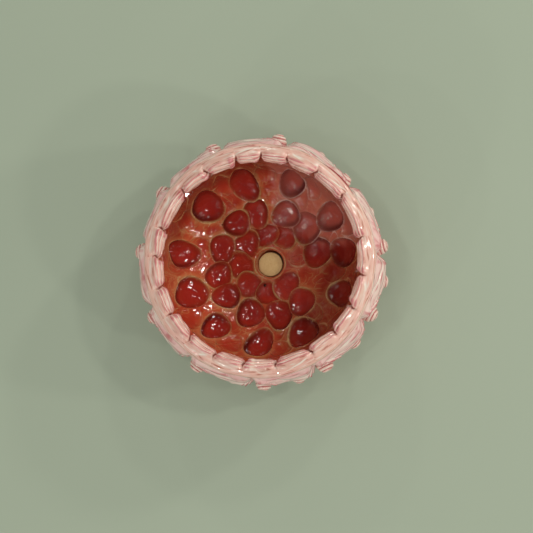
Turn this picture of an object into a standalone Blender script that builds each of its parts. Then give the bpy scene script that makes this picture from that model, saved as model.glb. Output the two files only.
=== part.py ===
"""Flower frog: a heavy hand-built earthenware bowl with pressed cups inside and a cork in its drain hole.

Metres, +Z up. The origin is on the table, under the middle of the bowl. Angles run anticlockwise from +X,
seen from above. The clay pieces that were laid on the bowl keep a gap of 0.3 mm from it and from each other.
"""

from math import asin, atan2, cos, degrees, pi, radians, sin, sqrt

import bmesh
import bpy
from mathutils import Euler, Vector

GAP = 0.0003

# Bowl
LIP_HEIGHT = 0.0583
LIP_INNER_RADIUS = 0.0637
LIP_OUTER_RADIUS = 0.0722
BELLY_RADIUS = 0.0742
BELLY_HEIGHT = 0.034
FLOOR_HEIGHT = 0.0155
UNDERSIDE_HEIGHT = 0.0035
FOOT_OUTER_RADIUS = 0.0460
FOOT_INNER_RADIUS = 0.0380
BOWL_STEPS = 60
INSIDE_STEPS = 8

# Drain hole and its cork, both narrower at the bottom
HOLE_TOP_RADIUS = 0.0089
HOLE_BOTTOM_RADIUS = 0.0080
HOLE_LIP_ROUNDING = 0.0012
CORK_TOP_DEPTH = 0.0028
CORK_CHAMFER = 0.0005
CORK_STEPS = 32

# Cups pressed with a fingertip: ring radius, cup radius at the surface, depth, and the angle of each cup
CUP_RINGS = (
    (0.0200, 0.0073, 0.0030, (60, 104, 144, 181, 219, 260, 313)),
    (0.0335, 0.0079, 0.0033, (11, 40, 67, 97, 127, 154, 183, 214, 255, 288, 320)),
    (0.0535, 0.0100, 0.0036, (5, 37, 75, 114, 143, 171, 205, 238, 271, 301, 334)),
)

# Rolls of clay on the rim, which meet at these angles. Rib depth and edge thickness are shares of the section
ROLL_CENTRE_RADIUS = 0.0685
ROLL_WIDTH = 0.0119
ROLL_THICKNESS = 0.0067
ROLL_RIBS = 4
ROLL_STATIONS = 7
ROLL_PINCH = 0.28
RIB_DEPTH = 0.12
EDGE_THICKNESS = 0.18
ROLL_JOINTS = (12, -8, -26, -43, -60, -80, -98, -115, -132, -149, -165, -182, -198, -222, -239, -257, -271, -286,
               -303, -323)

# Knobs, in two rows, and the folded leaf that starts clockwise of each upper knob and passes over the next.
# Leaf start and overshoot are degrees round the bowl, and its scales are shares of its full section
UPPER_KNOB_ANGLES = (7, -26, -59, -90, -123, -154, -185, -214, -245, -277, -315)
UPPER_KNOB_HEIGHT = 0.0400
LOWER_KNOB_HEIGHT = 0.0245
KNOB_RADIUS = 0.0054
UPPER_KNOB_REACH = 0.0078
LOWER_KNOB_REACH = 0.0085
KNOB_STEPS = 12
LEAF_WIDTH = 0.0190
LEAF_THICKNESS = 0.0060
LEAF_RIBS = 3
LEAF_START = 5.6
LEAF_OVERSHOOT = 4.0
LEAF_STATIONS = 11
LEAF_HEAD_HEIGHT = 0.0410
LEAF_ARCH_HEIGHT = 0.0534
LEAF_HEAD_SCALE = 0.66
LEAF_ARCH_SCALE = 0.32
LEAF_CLIMB_END = 0.84


def clear_scene():
    for item in list(bpy.data.objects):
        bpy.data.objects.remove(item)


def new_collection(name):
    collection = bpy.data.collections.new(name)
    bpy.context.scene.collection.children.link(collection)
    return collection


def material(name, colour, roughness, coat=0.0):
    made = bpy.data.materials.new(name)
    made.use_nodes = True
    shader = made.node_tree.nodes["Principled BSDF"]
    shader.inputs["Base Color"].default_value = (*colour, 1.0)
    shader.inputs["Roughness"].default_value = roughness
    shader.inputs["Metallic"].default_value = 0.0
    shader.inputs["Coat Weight"].default_value = coat
    return made


def add_object(name, data, collection, finish=None):
    made = bpy.data.objects.new(name, data)
    collection.objects.link(made)
    if finish:
        data.materials.append(finish)
    return made


def hide_helper(helper):
    helper.hide_render = True
    helper.display_type = "WIRE"


def turned(name, profile, steps, collection, finish):
    """A solid of revolution about its own Z. The profile is (radius, height) pairs, down the outer side first."""
    mesh = bpy.data.meshes.new(name)
    edges = [(i, i + 1) for i in range(len(profile) - 1)]
    if profile[0][0] > 0.0:
        edges.append((len(profile) - 1, 0))
    mesh.from_pydata([(radius, 0.0, height) for radius, height in profile], edges, [])
    made = add_object(name, mesh, collection, finish)
    screw = made.modifiers.new("Turn", "SCREW")
    screw.steps = steps
    screw.render_steps = steps
    screw.use_merge_vertices = True
    screw.merge_threshold = 0.00001
    screw.use_smooth_shade = True
    return made


def ribbed_outline(name, width, thickness, ribs, collection):
    """The section of a roll: flat below, on the origin, and ribbed lengthways above."""
    points = [(width / 2, 0.0)]
    steps = 2 * ribs
    for i in range(steps + 1):
        turn = pi * (i + 0.5) / (steps + 1)
        rib = 1.0 if i % 2 else 1.0 - RIB_DEPTH
        rise = EDGE_THICKNESS + (1.0 - EDGE_THICKNESS) * rib * sin(turn)
        points.append((width / 2 * rib * cos(turn), thickness * rise))
    points.append((-width / 2, 0.0))
    curve = bpy.data.curves.new(name, "CURVE")
    curve.dimensions = "2D"
    spline = curve.splines.new("POLY")
    spline.points.add(len(points) - 1)
    for point, (x, y) in zip(spline.points, reversed(points)):
        point.co = (x, y, 0.0, 1.0)
    spline.use_cyclic_u = True
    outline = add_object(name, curve, collection)
    hide_helper(outline)
    return outline


def swept(name, outline, stations, collection, finish):
    """A roll of clay: the outline swept along stations of (point, scale, tilt)."""
    curve = bpy.data.curves.new(name, "CURVE")
    curve.dimensions = "3D"
    curve.twist_mode = "Z_UP"
    curve.bevel_mode = "OBJECT"
    curve.bevel_object = outline
    curve.use_fill_caps = True
    spline = curve.splines.new("POLY")
    spline.points.add(len(stations) - 1)
    for point, (place, scale, tilt) in zip(spline.points, stations):
        point.co = (*place, 1.0)
        point.radius = scale
        point.tilt = tilt
    spline.use_smooth = True
    return add_object(name, curve, collection, finish)


def ellipse_arc(radius, centre_height, height_reach, first, last, steps):
    """Points on an ellipse about the bowl's axis, between two angles in radians from its widest place."""
    points = []
    for i in range(steps + 1):
        turn = first + (last - first) * i / steps
        points.append((radius * cos(turn), centre_height + height_reach * sin(turn)))
    return points


def shoulder_reach():
    """Half height of the ellipse above the belly that meets the lip's outer edge."""
    return (LIP_HEIGHT - BELLY_HEIGHT) / sqrt(1.0 - (LIP_OUTER_RADIUS / BELLY_RADIUS) ** 2)


def foot_reach():
    """Half height of the ellipse below the belly that meets the foot ring's outer edge."""
    return (BELLY_HEIGHT - UNDERSIDE_HEIGHT) / sqrt(1.0 - (FOOT_OUTER_RADIUS / BELLY_RADIUS) ** 2)


def outside(height):
    """(radius, slope angle) of the bowl's outer face at a height. The slope angle is 0 where it is vertical."""
    reach = shoulder_reach() if height > BELLY_HEIGHT else foot_reach()
    rise = (height - BELLY_HEIGHT) / reach
    radius = BELLY_RADIUS * sqrt(1.0 - rise * rise)
    return radius, atan2(rise / reach, radius / BELLY_RADIUS**2)


def on_outside(angle, height, lift):
    """A point at an angle in degrees and a height on the outer face, lifted off it along its normal."""
    radius, slope = outside(height)
    away = radius + lift * cos(slope)
    return Vector((away * cos(radians(angle)), away * sin(radians(angle)), height + lift * sin(slope)))


def inside_height(radius):
    """Height of the bowl's inner face, an ellipse from the lip down to the floor."""
    return LIP_HEIGHT - (LIP_HEIGHT - FLOOR_HEIGHT) * sqrt(1.0 - (radius / LIP_INNER_RADIUS) ** 2)


def bowl_profile():
    shoulder_start = atan2((LIP_HEIGHT - BELLY_HEIGHT) / shoulder_reach(), LIP_OUTER_RADIUS / BELLY_RADIUS)
    foot_end = atan2((UNDERSIDE_HEIGHT - BELLY_HEIGHT) / foot_reach(), FOOT_OUTER_RADIUS / BELLY_RADIUS)
    outer = ellipse_arc(BELLY_RADIUS, BELLY_HEIGHT, shoulder_reach(), shoulder_start, 0.0, 4)
    outer += ellipse_arc(BELLY_RADIUS, BELLY_HEIGHT, foot_reach(), 0.0, foot_end, 6)[1:]
    foot = [
        (FOOT_OUTER_RADIUS - 0.0010, 0.0),
        (FOOT_INNER_RADIUS + 0.0010, 0.0),
        (FOOT_INNER_RADIUS, UNDERSIDE_HEIGHT),
    ]
    hole = [
        (HOLE_BOTTOM_RADIUS, UNDERSIDE_HEIGHT),
        (HOLE_TOP_RADIUS, FLOOR_HEIGHT - HOLE_LIP_ROUNDING),
        (HOLE_TOP_RADIUS + HOLE_LIP_ROUNDING, inside_height(HOLE_TOP_RADIUS + HOLE_LIP_ROUNDING)),
    ]
    inner = []
    first = asin((HOLE_TOP_RADIUS + HOLE_LIP_ROUNDING) / LIP_INNER_RADIUS)
    for i in range(1, INSIDE_STEPS):
        radius = LIP_INNER_RADIUS * sin(first + (pi / 2 - first) * i / INSIDE_STEPS)
        inner.append((radius, inside_height(radius)))
    inner.append((LIP_INNER_RADIUS, LIP_HEIGHT))
    return outer + foot + hole + inner


def cup_cutter(collection):
    """One ball for each pressed cup, sunk so that its rim on the inner face has the cup's radius."""
    mesh = bpy.data.meshes.new("cup_cutter")
    shape = bmesh.new()
    for ring_radius, cup_radius, depth, angles in CUP_RINGS:
        ball_radius = (cup_radius**2 + depth**2) / (2 * depth)
        height = inside_height(ring_radius)
        step = 0.0001
        slope = atan2(inside_height(ring_radius + step) - inside_height(ring_radius - step), 2 * step)
        away = ring_radius - (ball_radius - depth) * sin(slope)
        up = height + (ball_radius - depth) * cos(slope)
        for angle in angles:
            ball = bmesh.ops.create_icosphere(shape, subdivisions=2, radius=ball_radius)
            place = Vector((away * cos(radians(angle)), away * sin(radians(angle)), up))
            bmesh.ops.translate(shape, verts=ball["verts"], vec=place)
    shape.to_mesh(mesh)
    shape.free()
    cutter = add_object("cup_cutter", mesh, collection)
    hide_helper(cutter)
    return cutter


def build_bowl(parts, helpers, finish):
    bowl = turned("bowl_body", bowl_profile(), BOWL_STEPS, parts, finish)
    cut = bowl.modifiers.new("Pressed cups", "BOOLEAN")
    cut.operation = "DIFFERENCE"
    cut.object = cup_cutter(helpers)
    cut.use_self = True
    return bowl


def build_rim(parts, helpers, finish):
    outline = ribbed_outline("roll_outline", ROLL_WIDTH, ROLL_THICKNESS, ROLL_RIBS, helpers)
    seat = LIP_HEIGHT + GAP
    half_gap = degrees(GAP / ROLL_CENTRE_RADIUS) / 2
    for number, start in enumerate(ROLL_JOINTS, 1):
        end = ROLL_JOINTS[number] if number < len(ROLL_JOINTS) else ROLL_JOINTS[0] - 360
        places = []
        for i in range(ROLL_STATIONS):
            along = i / (ROLL_STATIONS - 1)
            angle = radians(start - half_gap + (end - start + 2 * half_gap) * along)
            pinch = 1.0 - ROLL_PINCH * (2 * along - 1.0) ** 4
            places.append(((ROLL_CENTRE_RADIUS * cos(angle), ROLL_CENTRE_RADIUS * sin(angle), seat), pinch, 0.0))
        swept(f"rim_roll_{number:02d}", outline, places, parts, finish)


def build_knob(name, angle, height, reach, parts, finish):
    """A domed boss with a stepped, shell-like swirl. Its axis is the bowl's normal where it sits."""
    profile = [
        (0.0, reach),
        (0.46 * KNOB_RADIUS, 0.94 * reach),
        (0.56 * KNOB_RADIUS, 0.84 * reach),
        (0.84 * KNOB_RADIUS, 0.70 * reach),
        (0.92 * KNOB_RADIUS, 0.56 * reach),
        (KNOB_RADIUS, 0.34 * reach),
        (0.94 * KNOB_RADIUS, 0.0),
        (0.0, 0.0),
    ]
    knob = turned(name, profile, KNOB_STEPS, parts, finish)
    slope = outside(height)[1]
    knob.location = on_outside(angle, height, GAP)
    knob.rotation_euler = Euler((0.0, pi / 2 - slope, radians(angle)))
    return knob


def build_leaf(name, outline, start, end, parts, finish):
    """A folded leaf from clockwise of one knob to just past the next, narrowing as it climbs over that one."""
    head = start - LEAF_START
    tail = end - LEAF_OVERSHOOT
    places = []
    for i in range(LEAF_STATIONS):
        along = i / (LEAF_STATIONS - 1)
        angle = head + (tail - head) * along
        climb = min(1.0, along / LEAF_CLIMB_END)
        smooth = climb * climb * (3.0 - 2.0 * climb)
        height = LEAF_HEAD_HEIGHT + (LEAF_ARCH_HEIGHT - LEAF_HEAD_HEIGHT) * smooth
        scale = LEAF_HEAD_SCALE if i == 0 else 1.0 + (LEAF_ARCH_SCALE - 1.0) * smooth
        slope = outside(height)[1]
        places.append((on_outside(angle, height, GAP), scale, slope - pi / 2))
    return swept(name, outline, places, parts, finish)


def build_outside(parts, helpers, finish):
    outline = ribbed_outline("leaf_outline", LEAF_WIDTH, LEAF_THICKNESS, LEAF_RIBS, helpers)
    for number, angle in enumerate(UPPER_KNOB_ANGLES, 1):
        following = UPPER_KNOB_ANGLES[number] if number < len(UPPER_KNOB_ANGLES) else UPPER_KNOB_ANGLES[0] - 360
        build_knob(f"upper_knob_{number:02d}", angle, UPPER_KNOB_HEIGHT, UPPER_KNOB_REACH, parts, finish)
        between = (angle + following) / 2
        build_knob(f"lower_knob_{number:02d}", between, LOWER_KNOB_HEIGHT, LOWER_KNOB_REACH, parts, finish)
        build_leaf(f"leaf_fold_{number:02d}", outline, angle, following, parts, finish)


def build_cork(parts, finish):
    """A tapered cork that stands 0.3 mm clear of the hole all round. It lifts straight up out of the hole."""
    top = FLOOR_HEIGHT - CORK_TOP_DEPTH
    taper = (HOLE_TOP_RADIUS - HOLE_BOTTOM_RADIUS) / (FLOOR_HEIGHT - HOLE_LIP_ROUNDING - UNDERSIDE_HEIGHT)
    bottom_radius = HOLE_BOTTOM_RADIUS - GAP
    top_radius = bottom_radius + taper * (top - UNDERSIDE_HEIGHT)
    height = top - UNDERSIDE_HEIGHT
    profile = [
        (0.0, height),
        (top_radius - CORK_CHAMFER, height),
        (top_radius, height - CORK_CHAMFER),
        (bottom_radius, CORK_CHAMFER),
        (bottom_radius - CORK_CHAMFER, 0.0),
        (0.0, 0.0),
    ]
    cork = turned("drain_plug", profile, CORK_STEPS, parts, finish)
    cork.location = (0.0, 0.0, UNDERSIDE_HEIGHT)
    return cork


clear_scene()
frog = new_collection("flower_frog")
guides = new_collection("cutters_and_outlines")
red_glaze = material("oxblood glaze on earthenware", (0.165, 0.012, 0.008), 0.18, 0.6)
pink_glaze = material("pink glaze on earthenware", (0.68, 0.36, 0.30), 0.22, 0.6)
cork_finish = material("pressed cork", (0.42, 0.26, 0.11), 0.85)
build_bowl(frog, guides, red_glaze)
build_rim(frog, guides, pink_glaze)
build_outside(frog, guides, pink_glaze)
build_cork(frog, cork_finish)
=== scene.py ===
import math
import random

import bmesh
import bpy
import numpy as np
from mathutils import Matrix, Vector


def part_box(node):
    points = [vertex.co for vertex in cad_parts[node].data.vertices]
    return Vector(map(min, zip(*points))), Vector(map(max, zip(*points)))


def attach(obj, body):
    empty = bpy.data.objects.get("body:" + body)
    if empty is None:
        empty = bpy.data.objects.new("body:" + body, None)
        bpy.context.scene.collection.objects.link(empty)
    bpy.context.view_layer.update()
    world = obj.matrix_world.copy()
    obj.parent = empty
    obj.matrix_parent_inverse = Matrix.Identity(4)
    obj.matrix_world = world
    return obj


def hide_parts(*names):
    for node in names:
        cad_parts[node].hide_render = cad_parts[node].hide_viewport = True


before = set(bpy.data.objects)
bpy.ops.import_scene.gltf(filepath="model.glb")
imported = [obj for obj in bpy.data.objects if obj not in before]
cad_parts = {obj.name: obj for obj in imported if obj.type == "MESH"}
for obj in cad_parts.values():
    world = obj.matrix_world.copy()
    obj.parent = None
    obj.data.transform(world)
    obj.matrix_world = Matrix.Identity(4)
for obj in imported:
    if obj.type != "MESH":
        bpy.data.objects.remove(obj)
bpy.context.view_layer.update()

# ---------------------------------------------------------------- the inside
# The hollow of a thick bowl, built by hand of earthenware. Every cup is one
# press of a thumb into the soft wall, and the clay it pushed aside stands up
# as a thin lip. It is dipped in a clear red glaze that pools dark in the cups.
# Painted shade darkens the cups' steep sides, one side of the hollow and a
# band under the rim, and a painted reflection lays a milky veil over another
# side.
MM = 0.001
LIP_HEIGHT = 58.3 * MM
LIP_INNER = 63.7 * MM
LIP_MIDDLE = 69.2 * MM
FLOOR_HEIGHT = 15.5 * MM
BACK_HEIGHT = 9.4 * MM
HOLE_TOP = 9.3 * MM
HOLE_BOTTOM = 8.0 * MM
HOLE_ROUNDING = 0.9 * MM
SEAM_RADIUS = 10.5 * MM
SEAM_HEIGHT = 5.0 * MM
CUP_SPREAD, CUP_DEPTH = 1.12, 1.25
INSIDE_STEPS = 560
INSIDE_ROWS = 144

# The dents are pressed ring by ring: the first one's angle and the step to
# the next in degrees, their number, then their distance from the middle, half
# width, half length and depth in millimetres. Shallow dabs come first.
DAB_RINGS = ((22, 32, 11, 60, 7, 6, 1.3), (25, 36, 10, 45, 7, 8, 1.1),
             (15, 180, 2, 21, 7, 8, 0.8))
CUP_RINGS = ((60, 41, 7, 19.5, 7.5, 7, 2.8), (11, 30, 11, 34, 8, 7.5, 3.3),
             (5, 33, 11, 53.5, 8.5, 9, 3.8))
# Pinholes that the glaze left open: angle, distance, radius, in mm.
PINHOLES = ((256, 14.6, 1.2), (140, 40.0, 0.6), (219, 18.0, 0.35))


def linear(hexes):
    """An sRGB hex colour as the linear RGBA that a shader takes."""
    steps = [int(hexes[i:i + 2], 16) / 255 for i in (1, 3, 5)]
    return [s / 12.92 if s < 0.04045 else ((s + 0.055) / 1.055) ** 2.4
            for s in steps] + [1.0]


def add(tree, kind, inputs=None, **settings):
    """Adds one node, sets it up and links or fills its inputs."""
    made = tree.nodes.new("ShaderNode" + kind)
    for name, value in settings.items():
        setattr(made, name, value)
    for socket, value in (inputs or {}).items():
        if isinstance(value, bpy.types.NodeSocket):
            tree.links.new(value, made.inputs[socket])
        else:
            made.inputs[socket].default_value = value
    return made


def coated(tree, under, coats):
    """Lays coats of colour over an under colour and gives the last one.

    Each coat is its colour and how much of it shows: an amount from 0 to 1,
    or a pattern with the values between which the coat comes on.
    """
    for colour, *shows in coats:
        if len(shows) > 1:
            shows = [add(tree, "MapRange", {
                "Value": shows[0], "From Min": shows[1],
                "From Max": shows[2]},
                interpolation_type="SMOOTHSTEP").outputs[0]]
        if isinstance(colour, str):
            colour = linear(colour)
        under = add(tree, "Mix", {0: shows[0], 6: under, 7: colour},
                    data_type="RGBA").outputs[2]
    return under


def ease(values, start, end):
    """0 before start, 1 after end, and smooth between them."""
    part = np.clip((values - start) / (end - start), 0, 1)
    return part * part * (3 - 2 * part)


def spun(profile, steps):
    """A closed profile of (radius, height) points, turned once round Z."""
    shape = bmesh.new()
    points = [shape.verts.new((r, 0, z)) for r, z in profile]
    edges = [shape.edges.new(pair)
             for pair in zip(points, points[1:] + points[:1])]
    bmesh.ops.spin(shape, geom=points + edges, cent=(0, 0, 0),
                   axis=(0, 0, 1), dvec=(0, 0, 0), angle=math.tau,
                   steps=steps, use_merge=True, use_duplicate=False)
    bmesh.ops.recalc_face_normals(shape, faces=shape.faces)
    return shape


def fired(name, shape, form, material, stands_for, rounds=8,
          body="bowl", crease=55):
    """Moves a shape's points by form, notes its glaze, and seats it."""
    mesh = bpy.data.meshes.new(name)
    shape.to_mesh(mesh)
    shape.free()
    points = np.empty(len(mesh.vertices) * 3)
    mesh.vertices.foreach_get("co", points)
    points, notes = form(points.reshape(-1, 3))
    mesh.vertices.foreach_set("co", points.ravel())
    mesh.update()
    mesh.shade_smooth()
    mesh.set_sharp_from_angle(angle=math.radians(crease))
    raised = relief(mesh, points, rounds)
    shown = notes.pop("shown", np.ones(len(points)))
    notes["relief"] = (raised - np.median(raised[shown > 0.5])) * shown
    for note, values in notes.items():
        layer = mesh.attributes.new(note, "FLOAT", "POINT")
        layer.data.foreach_set("value", np.asarray(values, np.float32))
    mesh.materials.append(material)
    made = bpy.data.objects.new(name, mesh)
    bpy.context.scene.collection.objects.link(made)
    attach(made, body)
    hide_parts(stands_for)


def relief(mesh, points, rounds):
    """Millimetres that each point stands above the surface smoothed out."""
    ends = np.empty(len(mesh.edges) * 2, np.int32)
    mesh.edges.foreach_get("vertices", ends)
    one, two = ends.reshape(-1, 2).T
    size = len(points)
    share = np.bincount(one, minlength=size) + np.bincount(two, minlength=size)
    smooth = points.copy()
    for _ in range(rounds):
        summed = [np.bincount(one, smooth[two, k], size)
                  + np.bincount(two, smooth[one, k], size) for k in range(3)]
        smooth = np.stack(summed, 1) / np.maximum(share, 1)[:, None]
    normals = np.empty(size * 3)
    mesh.vertex_normals.foreach_get("vector", normals)
    return ((points - smooth) * normals.reshape(-1, 3)).sum(1) / MM


def inside_profile():
    """The lining's section: up the hole, out to the lip, and back."""
    low = math.asin((HOLE_TOP + HOLE_ROUNDING) / LIP_INNER)
    turns = np.linspace(low, math.pi / 2, INSIDE_ROWS)
    face = [(LIP_INNER * math.sin(t),
             LIP_HEIGHT - (LIP_HEIGHT - FLOOR_HEIGHT) * math.cos(t))
            for t in turns]
    edge = face[0][1]
    hole = [(HOLE_BOTTOM + (HOLE_TOP - HOLE_BOTTOM) * k / 8,
             SEAM_HEIGHT + (edge - HOLE_ROUNDING - SEAM_HEIGHT) * k / 8)
            for k in range(9)]
    lip = [(HOLE_TOP + HOLE_ROUNDING * (1 - math.cos(t)),
            edge - HOLE_ROUNDING * (1 - math.sin(t)))
           for t in np.linspace(0, math.pi / 2, 7)[1:-1]]
    return hole + lip + face + wall_back() + [(SEAM_RADIUS, SEAM_HEIGHT)]


def wall_back():
    """The middle of the wall, from the lip down to beside the hole."""
    low = math.asin(SEAM_RADIUS / LIP_MIDDLE)
    return [(LIP_MIDDLE * math.sin(t),
             LIP_HEIGHT - (LIP_HEIGHT - BACK_HEIGHT) * math.cos(t))
            for t in np.linspace(math.pi / 2, low, 10)]


def dents(rings, seed):
    """Every dent of the rings, as uneven as a thumb leaves them."""
    draw = random.Random(seed)
    return [(start + step * k + draw.uniform(-4, 4),
             distance * draw.uniform(0.96, 1.04),
             width * draw.uniform(0.88, 1.12),
             length * draw.uniform(0.88, 1.12), deep * draw.uniform(0.9, 1.1))
            for start, step, count, distance, width, length, deep in rings
            for k in range(count)]


def press(points):
    """Presses every dab and cup into the inner face."""
    x, y, z = points.T
    radius = np.hypot(x, y)
    sine = radius / LIP_INNER
    cosine = (LIP_HEIGHT - z) / (LIP_HEIGHT - FLOOR_HEIGHT)
    face = (abs(sine ** 2 + cosine ** 2 - 1) < 1e-4) & (
        radius > HOLE_TOP + HOLE_ROUNDING * 0.9)
    angle = np.arctan2(y, x)
    depth = 0.5 * ripple(angle, radius / (14 * MM), 7, 3)
    lip = np.zeros(len(points))
    halo = steep_shade = lip
    thick = 0.58 + 0.3 * ripple(angle, radius / (9 * MM), 16, 41)
    thick = np.clip(thick, 0.34, 0.9)
    for cups, lip_rise in ((dents(DAB_RINGS, 5), 0.6),
                           (dents(CUP_RINGS, 6), 1.0)):
        for turn, distance, width, length, deep in cups:
            spread = CUP_SPREAD + 0.1 * (distance < 40)
            width, length = width * spread, length * spread
            deep = deep * CUP_DEPTH
            away = angle - math.radians(turn)
            along = radius * np.cos(away) / MM - distance
            across = radius * np.sin(away) / MM
            bearing = np.arctan2(along, across)
            wobble = 1 + 0.06 * np.sin(3 * bearing + turn) + (
                0.05 * np.sin(2 * bearing + 1.7 * turn))
            upward = np.minimum(length, max(62.4 - distance, 2.5))
            stretch = np.where(along > 0, upward, length)
            reach = np.hypot(across / width, along / stretch) * wobble
            past = (reach - 1) * math.sqrt(width * length)
            inner = 1 - ease(past, -0.3, 0.9)
            hollow = np.clip(1 - reach ** 2, 0, 1) ** 0.66
            depth = depth * (1 - inner) - deep * hollow * inner
            pushed = 0.5 + 0.5 * np.sin(bearing + 2 * np.sin(turn * 1.3))
            rise = lip_rise * (0.55 + 0.45 * pushed)
            lip = np.maximum(lip * (1 - inner),
                             rise * np.exp(-(past / thick) ** 2))
            halo = np.maximum(halo * (1 - inner), lip_rise * pushed * np.exp(
                -(np.maximum(past, 0) / 3.0) ** 2) * (past > -1))
            # Painted shade: a dark ring on each cup's steep side, darkest
            # towards one side of the cup.
            shadiest_side = 0.62 + 0.38 * np.sin(bearing + 1.4 * np.sin(turn * 0.7))
            steep_shade = np.maximum(steep_shade * (1 - inner), (deep / 4.8) ** 2 * inner
                               * shadiest_side
                               * np.exp(-((reach - 0.84) / 0.2) ** 2))
    wrinkle = np.exp(-(ripple(angle, radius / (11 * MM), 11, 17) / 0.05) ** 2)
    wrinkle *= ease(ripple(angle, radius / (20 * MM), 7, 19), -0.6, 0.3)
    wrinkle *= 1 - ease(-depth, 1.4, 2.2)
    lip = np.maximum(lip, 0.75 * wrinkle)
    depth = depth + 0.12 * ripple(angle, radius / (4.5 * MM), 40, 29)
    depth = depth + 0.06 * ripple(angle, radius / (2.2 * MM), 80, 37)
    ring = np.exp(-((radius / MM - 10.4) / 0.7) ** 2)
    keep = ease(radius / MM, 10.2, 13.0) * (1 - ease(z / MM, 56.5, 58.2))
    offset = np.where(face, (depth + 0.55 * lip) * keep + 0.25 * ring, 0)
    speck = np.zeros(len(points))
    for turn, distance, size in PINHOLES:
        gap = np.hypot(x / MM - distance * math.cos(math.radians(turn)),
                       y / MM - distance * math.sin(math.radians(turn)))
        hit = np.exp(-(gap / size) ** 2) * face
        speck = np.maximum(speck, hit)
        offset = offset - hit * size * 1.4
    lean = np.stack([-x / np.maximum(radius, 1e-9) * sine * 0.672,
                     -y / np.maximum(radius, 1e-9) * sine * 0.672,
                     cosine], 1)
    lean /= np.maximum(np.linalg.norm(lean, axis=1), 1e-9)[:, None]
    moved = points + lean * offset[:, None] * MM
    # Painted reflection: a milky veil on the +x, +y side of the hollow,
    # standing in for the glaze mirroring the pale screen.
    sway = 2.5 * ripple(angle, radius / (7 * MM), 22, 47)
    reflection_veil = ease(x / MM + sway, 2, 8) * ease(
        y / MM + sway - np.maximum(12, 28 - 0.68 * (x / MM - 4.5)), -4, 4)
    notes = {
        "reflection_veil": reflection_veil * face,
        "ridge": np.where(face, np.maximum(lip * keep, ring), 0),
        "pool": np.where(face, np.clip(-depth / 4.4, 0, 1) * keep, 0),
        "halo": halo * face,
        "steep_shade": steep_shade * face,
        # Painted shade on the inner wall of the lamps' side, which faces away
        # from them, and a painted shadow under the rolls on the +y side.
        "painted_shade": face * np.maximum(
            0.6 * ease(np.cos(angle + 0.35), 0.2, 0.95)
            * ease(radius / MM, 26, 46) * (1 - 0.8 * reflection_veil),
            0.6 * ease(radius / MM, 54, 61) * ease(y / radius, -0.4, 0.6)),
        "speck": speck,
    }
    return moved, notes


def ripple(angle, across, waves, seed):
    """A smooth random pattern from -1 to 1 that closes round the bowl."""
    draw = random.Random(seed)
    total = 0
    for _ in range(9):
        total = total + np.sin(draw.randint(-waves, waves) * angle
                               + draw.uniform(-math.tau, math.tau) * across
                               + draw.uniform(0, math.tau))
    return total / 3.2


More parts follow.
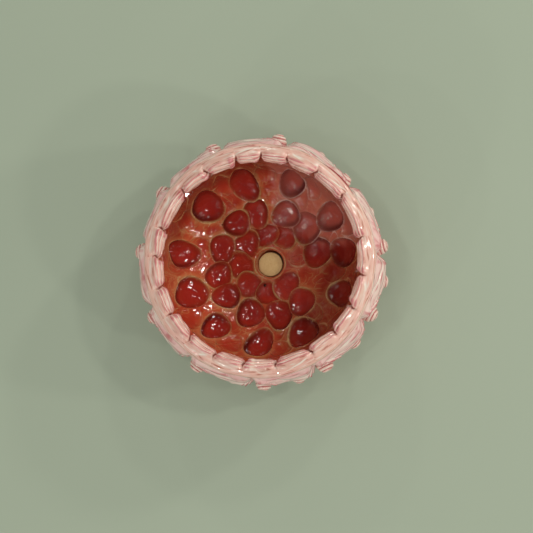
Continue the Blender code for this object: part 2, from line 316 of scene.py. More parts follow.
def red_glaze():
    """Clear red-brown glaze over buff clay, thin and tan on every lip.

    Glossy and wet-looking: it breaks to tan on edges and pools to maroon.
    Painted shade darkens the cups' steep sides, one side of the hollow and
    a band under the rim, and a painted reflection lays a milky veil, with
    paler lips, over another side.
    Its clouds are 9 mm across, the wisps 13 mm long, the patches on the lips
    6 mm, the dimples in the gloss 2.6 mm and the mottling 1 mm.
    """
    made = bpy.data.materials.new("red breaking glaze on earthenware")
    made.use_nodes = True
    tree = made.node_tree
    shader = tree.nodes["Principled BSDF"]
    place = add(tree, "TexCoord").outputs["Object"]
    ridge = add(tree, "Attribute", attribute_name="ridge").outputs["Fac"]
    pool = add(tree, "Attribute", attribute_name="pool").outputs["Fac"]
    halo = add(tree, "Attribute", attribute_name="halo").outputs["Fac"]
    # The cups' steep sides carry painted shade.
    steep_shade = add(tree, "Attribute", attribute_name="steep_shade").outputs["Fac"]
    # Painted shade on one side of the hollow and painted shadow under the rim.
    painted_shade = add(tree, "Attribute", attribute_name="painted_shade").outputs["Fac"]
    speck = add(tree, "Attribute", attribute_name="speck").outputs["Fac"]
    cloud = add(tree, "TexNoise", {"Vector": place, "Scale": 110.0,
                                   "Detail": 3.0}).outputs["Fac"]
    fine = add(tree, "TexNoise", {"Vector": place, "Scale": 900.0,
                                  "Detail": 4.0}).outputs["Fac"]

    # Painted reflection: a milky veil over the glaze, with paler lips and dark
    # cup sides within it.
    reflection_veil = add(tree, "Attribute", attribute_name="reflection_veil").outputs["Fac"]
    wisp = add(tree, "TexNoise", {"Vector": place, "Scale": 75.0,
                                  "Detail": 3.0,
                                  "Distortion": 1.6}).outputs["Fac"]
    wisp = add(tree, "Math", {0: add(tree, "Math", {
        0: wisp, 1: 0.5}, operation="SUBTRACT").outputs[0]},
        operation="ABSOLUTE").outputs[0]
    wisp, cloudy, rough = [
        add(tree, "MapRange", {"Value": value, "From Min": low,
                               "From Max": high},
            interpolation_type="SMOOTHSTEP").outputs[0]
        for value, low, high in ((wisp, 0.05, 0.0), (cloud, 0.3, 0.6),
                                 (fine, 0.2, 0.9))]
    wisp = add(tree, "Math", {0: wisp, 1: cloudy},
               operation="MULTIPLY").outputs[0]
    painted_veil = add(tree, "Math", {0: reflection_veil, 1: add(tree, "MapRange", {
        "Value": pool, "To Min": 0.48, "To Max": 0.34}).outputs[0]},
        operation="MULTIPLY").outputs[0]
    veil_steep_shade = add(tree, "Math", {0: steep_shade, 1: reflection_veil},
                      operation="MULTIPLY").outputs[0]
    patch = add(tree, "TexNoise", {"Vector": place, "Scale": 160.0,
                                   "Detail": 2.0}).outputs["Fac"]
    broken = add(tree, "Math", {0: ridge, 1: add(tree, "MapRange", {
        "Value": patch, "From Min": 0.3, "From Max": 0.62,
        "To Min": 0.45}).outputs[0]}, operation="MULTIPLY").outputs[0]
    tan = coated(tree, linear("#c39a6c"), (
        ("#b08454", fine, 0.35, 0.65), ("#d2aba0", reflection_veil)))
    shade = coated(tree, linear("#a63521"), (
        ("#b74f31", cloud, 0.3, 0.7), ("#b9643d", halo, 0.1, 1.0),
        ("#b9744a", wisp), ("#a82f1f", pool, 0.12, 0.5),
        ("#98251b", pool, 0.55, 0.95), ("#520e0a", steep_shade),
        ("#561410", painted_shade), ("#c07668", painted_veil), ("#521214", veil_steep_shade),
        (tan, broken, 0.15, 0.9), ("#160605", speck, 0.35, 0.8)))
    tree.links.new(shade, shader.inputs["Base Color"])
    tree.links.new(add(tree, "MapRange", {"Value": rough, "To Min": 0.045,
                                          "To Max": 0.09}).outputs[0],
                   shader.inputs["Roughness"])
    shader.inputs["IOR"].default_value = 1.46
    shader.inputs["Specular IOR Level"].default_value = 0.4
    shader.inputs["Coat Weight"].default_value = 0.55
    shader.inputs["Coat IOR"].default_value = 1.55
    shader.inputs["Coat Roughness"].default_value = 0.04
    dimpled = add(tree, "TexNoise", {"Vector": place, "Scale": 380.0,
                                     "Detail": 2.0}).outputs["Fac"]
    bump = add(tree, "Bump", {"Strength": 0.3, "Distance": 0.001,
                              "Height": dimpled})
    tree.links.new(bump.outputs[0], shader.inputs["Normal"])
    return made


fired("bowl_inside", spun(inside_profile(), INSIDE_STEPS), press,
      red_glaze(), "bowl_body", rounds=10)

# ------------------------------------------------------- the outside and foot
# The same bowl's outer wall, from the lip over the belly to a turned foot
# ring. Its soft folds were smoothed on with a finger, and a milky pink glaze
# runs off the high places and gathers rose-red in the low ones.
LIP_OUTER, LIP_TOP = 72.2, 58.3
BELLY_RADIUS, BELLY_HEIGHT = 74.2, 34.0
FOOT_OUTER, FOOT_INNER, UNDERSIDE = 46.0, 38.0, 3.5
UPPER_REACH = (LIP_TOP - BELLY_HEIGHT) / math.sqrt(
    1 - (LIP_OUTER / BELLY_RADIUS) ** 2)
LOWER_REACH = BELLY_HEIGHT / math.sqrt(1 - (FOOT_OUTER / BELLY_RADIUS) ** 2)
UPPER_KNOBS = (7, -26, -59, -90, -123, -154, -185, -214, -245, -277, -315)
NEXT_KNOBS = UPPER_KNOBS[1:] + (UPPER_KNOBS[0] - 360,)
LOWER_KNOBS = tuple((a + b) / 2 for a, b in zip(UPPER_KNOBS, NEXT_KNOBS))
UPPER_KNOB_HEIGHT, LOWER_KNOB_HEIGHT = 40.0, 24.5
OUTSIDE_STEPS = 500
OUTSIDE_ROWS = 120


def wall(height):
    """The outer wall's radius at a height, both in millimetres."""
    reach = np.where(height > BELLY_HEIGHT, UPPER_REACH, LOWER_REACH)
    part = np.clip((height - BELLY_HEIGHT) / reach, -1, 1)
    return BELLY_RADIUS * np.sqrt(1 - part ** 2)


def belly_out(degrees):
    """Millimetres by which the hand-built wall bulges, fuller on one side."""
    turn = np.radians(degrees)
    return (1.7 - 1.4 * np.cos(turn + 0.1) - 3.0 * np.exp(
        -(wrapped(np.asarray(degrees) - 38) / 20) ** 2))


def wrapped(degrees):
    """Degrees brought between -180 and 180."""
    return (np.asarray(degrees) + 180) % 360 - 180


def arches(degrees, height):
    """Pointed ridges, one over another, that frame each knob."""
    total = 0
    for knobs, middle, points_up, strength in (
            (UPPER_KNOBS, UPPER_KNOB_HEIGHT, 1, 1.0),
            (LOWER_KNOBS, LOWER_KNOB_HEIGHT, -1, 0.8)):
        for knob in knobs:
            side = wrapped(degrees - knob) * math.radians(1) * BELLY_RADIUS
            rise = (height - middle) * points_up
            span = (abs(side) ** 1.5 + abs(rise) ** 1.5) ** (1 / 1.5)
            ridge = 0.55 * np.cos(math.tau * (span - 8.4) / 2.5)
            band = ease(span, 6.4, 7.6) * (1 - ease(span, 11.5, 14.5))
            total = total + strength * ridge * band * ease(rise, -6, 1)
    return total


def creases(degrees, height, seed):
    """Long shallow folds that run round the wall, sharp at the bottom."""
    turn = np.radians(degrees)
    lines = abs(ripple(turn, height / 16 + 0.6 * turn, 6, seed))
    return -np.clip(1 - lines * 3.2, 0, 1) ** 1.3


def outside_profile():
    """The outer shell's section: lip, belly, foot and underside."""
    heights = np.concatenate([
        np.linspace(LIP_TOP, 6, OUTSIDE_ROWS - 18), np.linspace(5.5, 0.9, 12)])
    face = [(wall(h) * MM, h * MM) for h in heights]
    foot = [(FOOT_OUTER + 0.1, 0.45), (FOOT_OUTER - 0.35, 0.1),
            (FOOT_OUTER - 1, 0), (43, 0), (41, 0), (FOOT_INNER + 0.9, 0),
            (FOOT_INNER + 0.3, 0.2), (FOOT_INNER, 0.8),
            (FOOT_INNER - 0.8, UNDERSIDE - 0.8), (FOOT_INNER - 1.6, UNDERSIDE)]
    under = [(r, UNDERSIDE) for r in (33, 28, 22, 16, 11, 9.2)]
    hole = [(8.6, 3.65), (8.2, 4.1), (8.05, 4.9), (SEAM_RADIUS / MM, 4.9)]
    return (face + [(r * MM, h * MM) for r, h in foot + under + hole]
            + wall_back()[::-1])


def smoothed_on(points):
    """Gives the outer wall its folds and the arches round the knobs."""
    x, y, z = points.T
    radius = np.hypot(x, y) / MM
    height = z / MM
    face = abs(radius - wall(height)) < 0.05
    face &= height > 0.8
    degrees = np.degrees(np.arctan2(y, x))
    swirl = abs(np.sin(np.radians((degrees + 1.6 * height) * 5.5)))
    offset = (1.3 * swirl ** 0.7 - 0.6
              + 0.8 * creases(degrees, height, 5)
              + 0.5 * ripple(np.radians(degrees), height / 14, 9, 8)
              + 1.1 * arches(degrees, height) + belly_out(degrees))
    offset = offset * ease(height, 3, 13) * (1 - ease(height, 52, 58))
    moved = points.copy()
    scale = 1 + np.where(face, offset, 0) / np.maximum(radius, 1)
    moved[:, :2] *= scale[:, None]
    return moved, {"bare": 1 - ease(height, 0.15, 0.5),
                   "joint": np.zeros(len(points)),
                   "run": abs(wrapped(degrees)) * 1.3,
                   "side": height + 0.05 * radius}


def pink_glaze(name, tan, sharp, fineness):
    """Milky pink glaze over buff clay, cream on edges, rose in the folds.

    tan is how much of the red-brown wash is left in the grooves, sharp is
    how shallow a groove may be and still hold colour, and fineness sets how
    closely the streaks run. Its clouds are 13 mm across and its pits 2.4 mm,
    which is coarser than the real ones so that they show.
    """
    made = bpy.data.materials.new(name)
    made.use_nodes = True
    tree = made.node_tree
    shader = tree.nodes["Principled BSDF"]
    place = add(tree, "TexCoord").outputs["Object"]
    height = add(tree, "Attribute", attribute_name="relief").outputs["Fac"]
    joint = add(tree, "Attribute", attribute_name="joint").outputs["Fac"]
    bare = add(tree, "Attribute", attribute_name="bare").outputs["Fac"]
    cloud = add(tree, "TexNoise", {"Vector": place, "Scale": 75.0,
                                   "Detail": 3.0}).outputs["Fac"]
    run = add(tree, "Attribute", attribute_name="run").outputs["Fac"]
    side = add(tree, "Attribute", attribute_name="side").outputs["Fac"]
    drawn = add(tree, "CombineXYZ", {0: add(
        tree, "Math", {0: run, 1: 0.12}, operation="MULTIPLY").outputs[0],
        1: side})
    streak = add(tree, "TexNoise", {"Vector": drawn.outputs[0],
                                    "Scale": fineness, "Detail": 3.0,
                                    "Distortion": 0.4}).outputs["Fac"]

    rose = coated(tree, linear("#d68a8c"), (("#b4745a", tan),))
    groove = coated(tree, linear("#b3484f"), (("#945038", tan),))
    seam = coated(tree, linear("#a8474a"), (("#9c5038", streak, 0.4, 0.6),))
    shade = coated(tree, linear("#f4c0c0"), (
        ("#f6d8d0", cloud, 0.35, 0.65), ("#eab8a4", tan),
        ("#f4e3d6", streak, 0.5, 0.72), (rose, streak, 0.46, 0.3),
        ("#d48888", height, -0.03 / sharp, -0.2 / sharp),
        (groove, height, -0.18 / sharp, -0.5 / sharp),
        ("#f6eadc", height, 0.04 / sharp, 0.26 / sharp),
        (seam, joint, 0.3, 1.0), ("#cdb38f", bare)))
    tree.links.new(shade, shader.inputs["Base Color"])
    gloss = add(tree, "MapRange", {"Value": bare, "To Min": 0.16,
                                   "To Max": 0.8}).outputs[0]
    tree.links.new(gloss, shader.inputs["Roughness"])
    shader.inputs["IOR"].default_value = 1.46
    shader.inputs["Coat Weight"].default_value = 1.0
    shader.inputs["Coat Roughness"].default_value = 0.03
    pitted = add(tree, "TexNoise", {"Vector": place, "Scale": 420.0,
                                    "Detail": 2.0}).outputs["Fac"]
    bump = add(tree, "Bump", {"Strength": 0.15, "Distance": 0.0004,
                              "Height": pitted})
    tree.links.new(bump.outputs[0], shader.inputs["Normal"])
    return made


SKIRT_GLAZE = pink_glaze("milky pink glaze on earthenware", 0.12, 0.9, 0.5)
fired("bowl_outside", spun(outside_profile(), OUTSIDE_STEPS), smoothed_on,
      SKIRT_GLAZE, "bowl_body", rounds=12)

# ----------------------------------------------------------------- the leaves
# Eleven long flat folds of clay, laid round the shoulder one after another.
# Each starts as a proud lip beside a knob and arches over the next one; the
# edges were smoothed into the wall with slip.
LEAF_ALONG, LEAF_ACROSS = 104, 56
LEAF_START, LEAF_PAST = 3.2, 5.0
LEAF_TOP, ARCH_TOP, LEAF_EDGE = 59.2, 49.0, 1.2


def leaf(knob, next_knob, seed):
    """The form of one leaf between two knobs, running clockwise."""
    gap = knob - next_knob
    draw = random.Random(seed)
    tip = draw.uniform(8.5, 10.5)
    proud = draw.uniform(5.7, 6.5)

    def form(points):
        part = (points[:, 0] + 1) / 2
        across = points[:, 1]
        behind = points[:, 2] < -0.5
        away = LEAF_START + part * (gap + LEAF_PAST - LEAF_START)
        degrees = knob - away
        side = (away - gap) * math.radians(1) * BELLY_RADIUS
        arch = ARCH_TOP - 1.15 * abs(side) ** 1.12
        climb = 31 + 4.5 * part + 2.5 * np.exp(-((away - 3) / 2.5) ** 2)
        bottom = np.where(side < 2, np.maximum(climb, arch), 47.0)
        height = bottom + (LEAF_TOP - bottom) * (across + 1) / 2
        thick = (LEAF_EDGE + (proud - LEAF_EDGE)
                 * ease(away, LEAF_START, tip)
                 * (1 - 0.25 * ease(away, tip, gap * 0.9)))
        thick = thick * (1 - 0.85 * ease(away, gap + 0.5, gap + LEAF_PAST))
        crown = -0.25 + 0.15 * np.sin(part * 5 + seed)
        lower = np.clip((across - crown) / (-1 - crown), 0, None) ** 2.6
        higher = np.clip((across - crown) / (1 - crown), 0, None) ** 1.5
        lens = np.where(across < crown, 1 - lower, 1 - 0.86 * higher)
        lens = np.clip(lens, 0, 1) ** 0.8
        offset = thick * lens
        offset = np.maximum(offset, 2.4 * ease(height, 50, 58))
        offset = offset + 1.0 * arches(degrees, height) * np.clip(
            offset / 1.5, 0, 1)
        ends = ease(part, 0, 0.06) * ease(across, -1, -0.8)
        offset = offset + ends * (
            0.9 * creases(degrees, height, 21) * ease(part, 0.1, 0.3)
            + 0.45 * ripple(np.radians(degrees), height / 9, 14, 23)
            + 0.15 * ripple(np.radians(degrees), height / 3, 40, 25))
        start = ease(away, LEAF_START, LEAF_START + 2.2)
        offset = offset * (0.25 + 0.75 * start)
        offset = np.where(behind, -1.6, np.maximum(offset, -0.3))
        slope = 1 - 0.9 * ease(height, 54, 59)
        offset = offset + np.where(behind, 0, belly_out(degrees) * slope)
        radius = (wall(height) + offset) * MM
        turn = np.radians(degrees)
        moved = np.stack([radius * np.cos(turn), radius * np.sin(turn),
                          height * MM], 1)
        blank = np.zeros(len(points))
        return moved, {"bare": blank, "joint": blank,
                       "run": away * 1.3, "side": height + offset}

    return form


def slab(along, across):
    """A flat closed slab in its own coordinates: -1 to 1 both ways."""
    shape = bmesh.new()
    bmesh.ops.create_grid(shape, x_segments=along, y_segments=across, size=1)
    bmesh.ops.solidify(shape, geom=shape.faces[:], thickness=1.0)
    bmesh.ops.recalc_face_normals(shape, faces=shape.faces)
    return shape


for count, (knob, next_knob) in enumerate(zip(UPPER_KNOBS, NEXT_KNOBS), 1):
    fired(f"leaf_{count:02d}", slab(LEAF_ALONG, LEAF_ACROSS),
          leaf(knob, next_knob, count), SKIRT_GLAZE,
          f"leaf_fold_{count:02d}", rounds=10)

# ------------------------------------------------------------- the rim's rolls
# Twenty short straps of clay laid end to end round the lip and pinched
# together. A comb drawn to each end left ribs that fan out like fingers, and
# a red-brown wash stays in them under the pink glaze.
ROLL_JOINTS = (12, -8, -26, -43, -60, -80, -98, -115, -132, -149, -165,
               -182, -198, -222, -239, -257, -271, -286, -303, -323, -348)
CREST_RADIUS = 68.1
ROLL_BASE = 58.2
ROLL_OUT, ROLL_BELOW = 6.9, 5.0
ROLL_ALONG, ROLL_AROUND = 60, 128


def roll(start, end, seed):
    """The form of one strap between two pinched joints."""
    draw = random.Random(seed)
    length = (start - end) * math.radians(1) * 68.0
    ribs = draw.choice((5.0, 6.0, 7.0))
    shift = draw.uniform(0, 1)
    first, last = draw.uniform(0.2, 0.7), draw.uniform(0.5, 1.1)
    swell = draw.uniform(0.5, 1.3)
    near_in, far_in = draw.uniform(1.6, 2.6), draw.uniform(1.2, 2.0)
    near_up, far_up = draw.uniform(1.5, 2.5), draw.uniform(1.0, 1.7)
    knuckle = draw.uniform(0.4, 1.1)

    def form(points):
        x, y, z = points.T
        around = np.arctan2(z, np.hypot(x, y) - 1)
        part = np.clip(np.arctan2(y, x) / math.radians(start - end), 0, 1)
        upper = around >= -1e-6
        tau = np.where(upper, 1 - around / math.pi, 0.5) ** 1.25
        around = np.where(upper, (1 - tau) * math.pi, around)
        inner = 1 - ease(tau, 0.45, 0.68)
        slant = (tau - 0.3) * inner * upper
        degrees = start - part * (start - end) + slant * (
            joint_slant(start) * (1 - part) ** 3
            + joint_slant(end) * part ** 3)
        near, far = part * length, (1 - part) * length
        pinch_near = np.exp(-(near / 2.4) ** 2)
        pinch_far = np.exp(-(far / 1.1) ** 2)
        plump = knuckle * np.exp(-((far - 3.4) / 2.2) ** 2)
        bulge = np.sin(math.pi * part) ** 0.7
        reach_in = (3.0 + (1.0 + 0.9 * swell) * bulge
                    - near_in * np.exp(-(near / 1.5) ** 2)
                    - far_in * np.exp(-(far / 1.0) ** 2) + plump)
        lift = np.abs(np.sin(around))
        fuller = ROLL_OUT + 0.35 * belly_out(degrees)
        across = np.where(np.cos(around) < 0, reach_in, fuller)
        radius = CREST_RADIUS + across * np.cos(around)
        crown = 4.6 + (0.9 + 1.5 * swell) * bulge * inner
        below = np.where(np.cos(around) > 0, ROLL_BELOW, 1.3)
        rise = np.where(upper, crown * lift ** 0.85, -below * lift)
        rise = rise - np.where(upper, (
            near_up * pinch_near + far_up * pinch_far - plump)
            * inner * lift ** 0.5, 0)
        spread = 0.4 + first * np.exp(-(near / 5.5) ** 2) + (
            last * np.exp(-(far / 8) ** 2))
        fan = 1.2 - 0.35 * part
        comb = abs(np.sin(math.pi * (ribs * (tau - 0.3) * fan + shift
                                     + 0.12 * np.sin(part * 7 + seed))))
        band = ease(tau, 0.02, 0.06) * (1 - ease(tau, 0.42, 0.6))
        offset = np.where(upper, spread * (comb ** 0.8 - 0.62) * band, 0)
        turn = np.radians(degrees)
        offset = offset + np.where(
            upper, 0.6 * creases(degrees, 60 + radius * 0.6, 31)
            * ease(tau, 0.45, 0.62) * (1 - ease(tau, 0.93, 1))
            + 0.3 * ripple(turn, radius / 6, 24, 33), 0)
        height = (ROLL_BASE + rise + offset * np.sin(around)) * MM
        radius = (radius + offset * np.cos(around)) * MM
        moved = np.stack([radius * np.cos(turn), radius * np.sin(turn),
                          height], 1)
        seam = np.exp(-(near / 1.4) ** 2) + np.exp(-(far / 0.7) ** 2)
        joint = np.where(upper, seam * inner * ease(tau, 0.05, 0.15), 0)
        shown = ease(near, 0.1, 1.2) * ease(far, 0.1, 1.2)
        return moved, {"joint": np.clip(joint, 0, 1), "shown": shown,
                       "bare": np.zeros(len(points)),
                       "run": near + seed * 31, "side": tau * 17}

    return form


def joint_slant(degrees):
    """How far, in degrees, the joint at this angle leans across the rim."""
    return 5.0 * math.sin(degrees * 2.7)


def strap(sweep):
    """A round bar of radius half, bent round the Z axis at radius 1."""
    shape = bmesh.new()
    bmesh.ops.create_circle(shape, cap_ends=False, segments=ROLL_AROUND,
                            radius=0.5)
    bmesh.ops.rotate(shape, verts=shape.verts, cent=(0, 0, 0),
                     matrix=Matrix.Rotation(math.pi / 2, 3, "X"))
    bmesh.ops.translate(shape, verts=shape.verts, vec=(1, 0, 0))
    first = shape.edges[:]
    made = bmesh.ops.spin(shape, geom=shape.verts[:] + first,
                          cent=(0, 0, 0), axis=(0, 0, 1), dvec=(0, 0, 0),
                          angle=sweep, steps=ROLL_ALONG, use_merge=False,
                          use_duplicate=False)
    last = [g for g in made["geom_last"] if isinstance(g, bmesh.types.BMEdge)]
    for loop in (first, last):
        bmesh.ops.contextual_create(shape, geom=loop)
    bmesh.ops.recalc_face_normals(shape, faces=shape.faces)
    return shape


ROLL_GLAZE = pink_glaze("pink glaze over a red-brown wash", 0.75, 1.3, 0.8)
for count, (start, end) in enumerate(zip(ROLL_JOINTS, ROLL_JOINTS[1:]), 1):
    fired(f"roll_{count:02d}", strap(math.radians(start - end)),
          roll(start, end, count), ROLL_GLAZE,
          f"rim_roll_{count:02d}", rounds=8)

# ------------------------------------------------------------------ the knobs
# Twenty-two small balls of clay, each a strip rolled into a snail and pressed
# on below the rim with a fingertip, in two rows that stand between each other.
KNOB_ROWS, KNOB_STEPS, KNOB_SUNK = 34, 72, -2.4
KNOB_SECTION = ((0, 6.6), (0.8, 6.85), (1.7, 7.3), (2.7, 7.1), (3.7, 6.4),
                (4.6, 5.3), (5.3, 4.0), (5.7, 2.6), (5.8, 1.2), (6.0, 0.1),
                (6.5, -0.9), (6.4, KNOB_SUNK))


def ball():
    """A knob's blank: its section smoothed and turned round Z."""
    section = np.array(KNOB_SECTION)
    run = np.concatenate([[0], np.cumsum(np.hypot(
        *np.diff(section, axis=0).T))])
    even = np.linspace(0, run[-1], KNOB_ROWS)
    radii = np.interp(even, run, section[:, 0])
    heights = np.interp(even, run, section[:, 1])
    for _ in range(3):
        radii[1:-1] = (radii[:-2] + 2 * radii[1:-1] + radii[2:]) / 4
        heights[1:-1] = (heights[:-2] + 2 * heights[1:-1] + heights[2:]) / 4
    shape = bmesh.new()
    points = [shape.verts.new((r, 0, z)) for r, z in zip(radii, heights)]
    points.append(shape.verts.new((0, 0, KNOB_SUNK)))
    edges = [shape.edges.new(p) for p in zip(points, points[1:])]
    bmesh.ops.spin(shape, geom=points + edges, cent=(0, 0, 0),
                   axis=(0, 0, 1), dvec=(0, 0, 0), angle=math.tau,
                   steps=KNOB_STEPS, use_merge=True, use_duplicate=False)
    bmesh.ops.remove_doubles(shape, verts=shape.verts, dist=1e-5)
    bmesh.ops.recalc_face_normals(shape, faces=shape.faces)
    return shape


def snail(degrees, height, seed, reach):
    """Winds the groove into a knob and sets it on the wall."""
    draw = random.Random(seed)
    squash = draw.uniform(0.9, 1.06)
    spin = draw.uniform(0, math.tau)
    hand = draw.choice((-1, 1))
    slope = math.atan2(float(wall(height - 0.5) - wall(height + 0.5)), 1)

    def form(points):
        x, y, z = points.T
        around = np.arctan2(y, x)
        radius = np.hypot(x, y)
        run = radius + np.clip(6.2 - z, 0, 9) * 0.8
        groove = abs(np.sin((hand * around + spin + run * 2.1) / 2))
        offset = (0.55 * groove ** 0.6 - 0.3) * ease(z, 0.5, 2.0) * ease(
            radius, 0.1, 1.2)
        spread = 1 + offset / 5.4
        x, y = x * spread * 1.03, y * spread * squash
        z = (z + offset * 0.7) * np.where(z > 0, reach / 7.5, 1)
        local = np.stack([x, y, z], 1)
        turn = Matrix.Rotation(math.radians(degrees), 3, "Z")
        lean = Matrix.Rotation(math.pi / 2 - slope, 3, "Y")
        seat = np.array(turn @ lean)
        middle = float(wall(height) + belly_out(degrees) * 1.5)
        base = np.array([middle * math.cos(math.radians(degrees)),
                         middle * math.sin(math.radians(degrees)), height])
        blank = np.zeros(len(points))
        return (local @ seat.T + base) * MM, {
            "bare": blank, "joint": blank, "run": abs(around) * 4,
            "side": run + hand * around / 2.1}

    return form


KNOB_GLAZE = pink_glaze("pink glaze over a tan wash", 0.6, 1.6, 0.9)
for row, angles, height, reach in (
        ("upper", UPPER_KNOBS, UPPER_KNOB_HEIGHT, 7.8),
        ("lower", LOWER_KNOBS, LOWER_KNOB_HEIGHT, 8.5)):
    for count, angle in enumerate(angles, 1):
        fired(f"{row}_snail_{count:02d}", ball(),
              snail(angle, height, count * 7 + len(row), reach),
              KNOB_GLAZE, f"{row}_knob_{count:02d}", rounds=8)

# ------------------------------------------------------------------- the cork
# A tapered stopper of pressed cork grains, pushed into the drain hole from
# above. It is the one piece that comes out.
CORK_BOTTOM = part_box("drain_plug")[0].z
CORK_SUNK, CORK_LONG, CORK_NARROWING = 2.2 * MM, 11 * MM, 0.9 * MM
CORK_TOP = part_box("drain_plug")[1].z - CORK_SUNK
CORK_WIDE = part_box("drain_plug")[1].x
CORK_TAPER = CORK_NARROWING * (CORK_TOP - CORK_BOTTOM) / CORK_LONG
CORK_STEPS = 96
CORK_CHAMFER = 0.5 * MM
CORK_FIT, CORK_ASIDE = 0.965, np.array([-0.4 * MM, -0.3 * MM])


def crumbly(points):
    """Leaves the cork's faces slightly uneven and sets it a little aside."""
    x, y, z = points.T
    radius = np.hypot(x, y)
    turn = np.arctan2(y, x)
    rough = 0.05 * ripple(turn, radius / (2.1 * MM), 9, 61) + (
        0.04 * ripple(turn, z / (1.7 * MM), 17, 63))
    moved = points.copy()
    moved[:, :2] *= (1 + rough * ease(radius, 5 * MM, 8 * MM) * 0.12)[:, None]
    moved[:, 2] += rough * MM * ease(z, CORK_TOP - 1 * MM, CORK_TOP)
    moved[:, :2] = moved[:, :2] * CORK_FIT + CORK_ASIDE
    return moved, {}


def cork_blank():
    """The stopper's section, spun, with fine rows on its top face."""
    wide, low = CORK_WIDE, CORK_WIDE - CORK_TAPER
    top = [(r, CORK_TOP) for r in
           np.linspace(0, wide - CORK_CHAMFER, 24)]
    side = [(wide - CORK_CHAMFER * 0.3, CORK_TOP - CORK_CHAMFER * 0.3),
            (wide, CORK_TOP - CORK_CHAMFER)]
    side += [(wide + (low - wide) * k / 10, CORK_TOP - CORK_CHAMFER
              - (CORK_TOP - CORK_BOTTOM - 2 * CORK_CHAMFER) * k / 10)
             for k in range(1, 11)]
    under = [(low - CORK_CHAMFER, CORK_BOTTOM), (low / 2, CORK_BOTTOM),
             (0, CORK_BOTTOM)]
    shape = bmesh.new()
    points = [shape.verts.new((r, 0, z)) for r, z in top + side + under]
    edges = [shape.edges.new(p) for p in zip(points, points[1:])]
    bmesh.ops.spin(shape, geom=points + edges, cent=(0, 0, 0),
                   axis=(0, 0, 1), dvec=(0, 0, 0), angle=math.tau,
                   steps=CORK_STEPS, use_merge=True, use_duplicate=False)
    bmesh.ops.remove_doubles(shape, verts=shape.verts, dist=1e-6)
    bmesh.ops.recalc_face_normals(shape, faces=shape.faces)
    return shape


def pressed_cork():
    """Agglomerated cork: 1 mm grains of tan bark with darker 4 mm specks.

    Dull and dry: it scatters light and has no gloss.
    """
    made = bpy.data.materials.new("pressed cork")
    made.use_nodes = True
    tree = made.node_tree
    shader = tree.nodes["Principled BSDF"]
    place = add(tree, "TexCoord").outputs["Object"]
    grain = add(tree, "TexVoronoi", {"Vector": place, "Scale": 900.0})
    cloud = add(tree, "TexNoise", {"Vector": place, "Scale": 260.0,
                                   "Detail": 5.0}).outputs["Fac"]
    dark = add(tree, "MapRange", {"Value": cloud, "From Min": 0.64,
                                  "From Max": 0.9}).outputs[0]
    tone = coated(tree, linear("#ecca8e"), (
        ("#e2bd80", grain.outputs["Color"]), ("#c09c68", dark)))
    tree.links.new(tone, shader.inputs["Base Color"])
    shader.inputs["Roughness"].default_value = 0.8
    bump = add(tree, "Bump", {"Strength": 0.3, "Distance": 0.0002,
                              "Height": grain.outputs["Distance"]})
    tree.links.new(bump.outputs[0], shader.inputs["Normal"])
    return made


fired("cork_stopper", cork_blank(), crumbly, pressed_cork(),
      "drain_plug", body="plug", crease=30)

# ------------------------------------------------ the table, lights and camera
# A plain sheet of pale sage card, seen from almost straight above. Soft lamps
# stand on the right, smaller ones overhead and on the left, and a pale screen
# low on the left.
AIM = Vector((2.5 * MM, -3.3 * MM, 45 * MM))
CAMERA_ELEVATION, CAMERA_AZIMUTH, CAMERA_DISTANCE = 80.4, -15.4, 1.0
LENS, SENSOR = 103.6, 36.0
LAMP_DISTANCE, ROOM_LIGHT = 1.6, 0.42


def from_angles(azimuth, elevation, distance):
    """A point seen from AIM at these angles, in degrees and metres."""
    flat = math.cos(math.radians(elevation))
    return AIM + distance * Vector((
        flat * math.cos(math.radians(azimuth)),
        flat * math.sin(math.radians(azimuth)),
        math.sin(math.radians(elevation))))


def looking(place, up):
    """The turn that points -Z from place to AIM, with up towards the top."""
    back = (place - AIM).normalized()
    right = up.cross(back).normalized()
    return Matrix((right, back.cross(right), back)).transposed()


def lamp(name, azimuth, elevation, distance, size, power):
    """A square soft lamp that faces the bowl and is mirrored in its glaze."""
    light = bpy.data.lights.new(name, "AREA")
    light.size = size
    light.energy = power
    light.color = linear("#fffaf3")[:3]
    made = bpy.data.objects.new(name, light)
    bpy.context.scene.collection.objects.link(made)
    place = from_angles(azimuth, elevation, distance)
    turn = looking(place, Vector((0, 0, 1)))
    made.matrix_world = Matrix.Translation(place) @ turn.to_4x4()


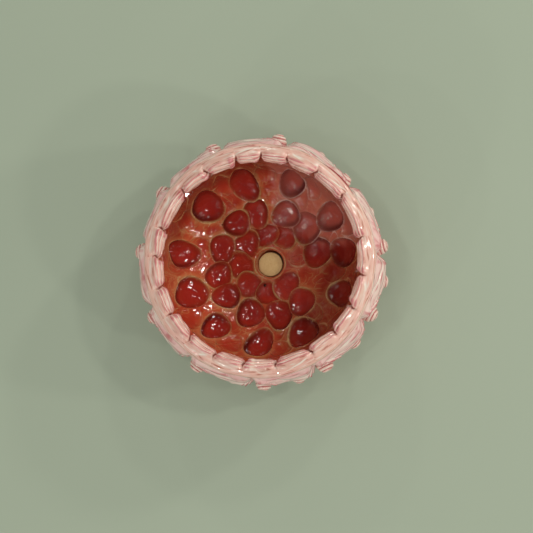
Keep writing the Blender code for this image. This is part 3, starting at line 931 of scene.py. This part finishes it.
eye = bpy.data.cameras.new("camera")
eye.lens = LENS
eye.sensor_width = SENSOR
camera = bpy.data.objects.new("camera", eye)
bpy.context.scene.collection.objects.link(camera)
spot = from_angles(CAMERA_AZIMUTH, CAMERA_ELEVATION, CAMERA_DISTANCE)
camera.matrix_world = Matrix.Translation(spot) @ looking(
    spot, Vector((0, 1, 0))).to_4x4()
bpy.context.scene.camera = camera

table = bmesh.new()
bmesh.ops.create_grid(table, x_segments=1, y_segments=1, size=4.0)
sheet = bpy.data.meshes.new("table")
table.to_mesh(sheet)
table.free()
card = bpy.data.materials.new("pale sage card")
card.use_nodes = True
card_shader = card.node_tree.nodes["Principled BSDF"]
tooth = add(card.node_tree, "TexNoise", {
    "Vector": add(card.node_tree, "TexCoord").outputs["Object"],
    "Scale": 6.0, "Detail": 2.0}).outputs["Fac"]
tone = coated(card.node_tree, linear("#aab7a4"), (("#a6b3a0", tooth),))
card.node_tree.links.new(tone, card_shader.inputs["Base Color"])
card_shader.inputs["Roughness"].default_value = 0.9
card_shader.inputs["Specular IOR Level"].default_value = 0.2
sheet.materials.append(card)
floor = bpy.data.objects.new("table", sheet)
bpy.context.scene.collection.objects.link(floor)

for count, (azimuth, elevation, power, size) in enumerate((
        (-26, 30, 3.0, 0.1), (2, 22, 3.6, 0.1), (20, 44, 3.0, 0.1),
        (40, 24, 3.4, 0.1), (66, 34, 1.9, 0.1), (100, 28, 1.0, 0.08),
        (128, 60, 0.6, 0.04), (152, 74, 0.8, 0.04), (172, 81, 0.8, 0.04),
        (205, 66, 0.7, 0.04), (218, 36, 0.9, 0.04), (236, 25, 1.1, 0.04),
        (248, 48, 0.8, 0.04), (270, 30, 0.4, 0.04), (300, 62, 0.4, 0.04)),
        1):
    lamp(f"ceiling_lamp_{count}", azimuth, elevation, LAMP_DISTANCE, size,
         power)
lamp("pale_screen", 236, 16, 1.5, 1.1, 2.0)

world = bpy.data.worlds.new("room")
world.use_nodes = True
world.node_tree.nodes["Background"].inputs[0].default_value = linear("#f0efe9")
world.node_tree.nodes["Background"].inputs[1].default_value = ROOM_LIGHT
bpy.context.scene.world = world
world.cycles_visibility.glossy = False
bpy.context.scene.view_settings.view_transform = "Standard"
bpy.context.scene.view_settings.look = "None"
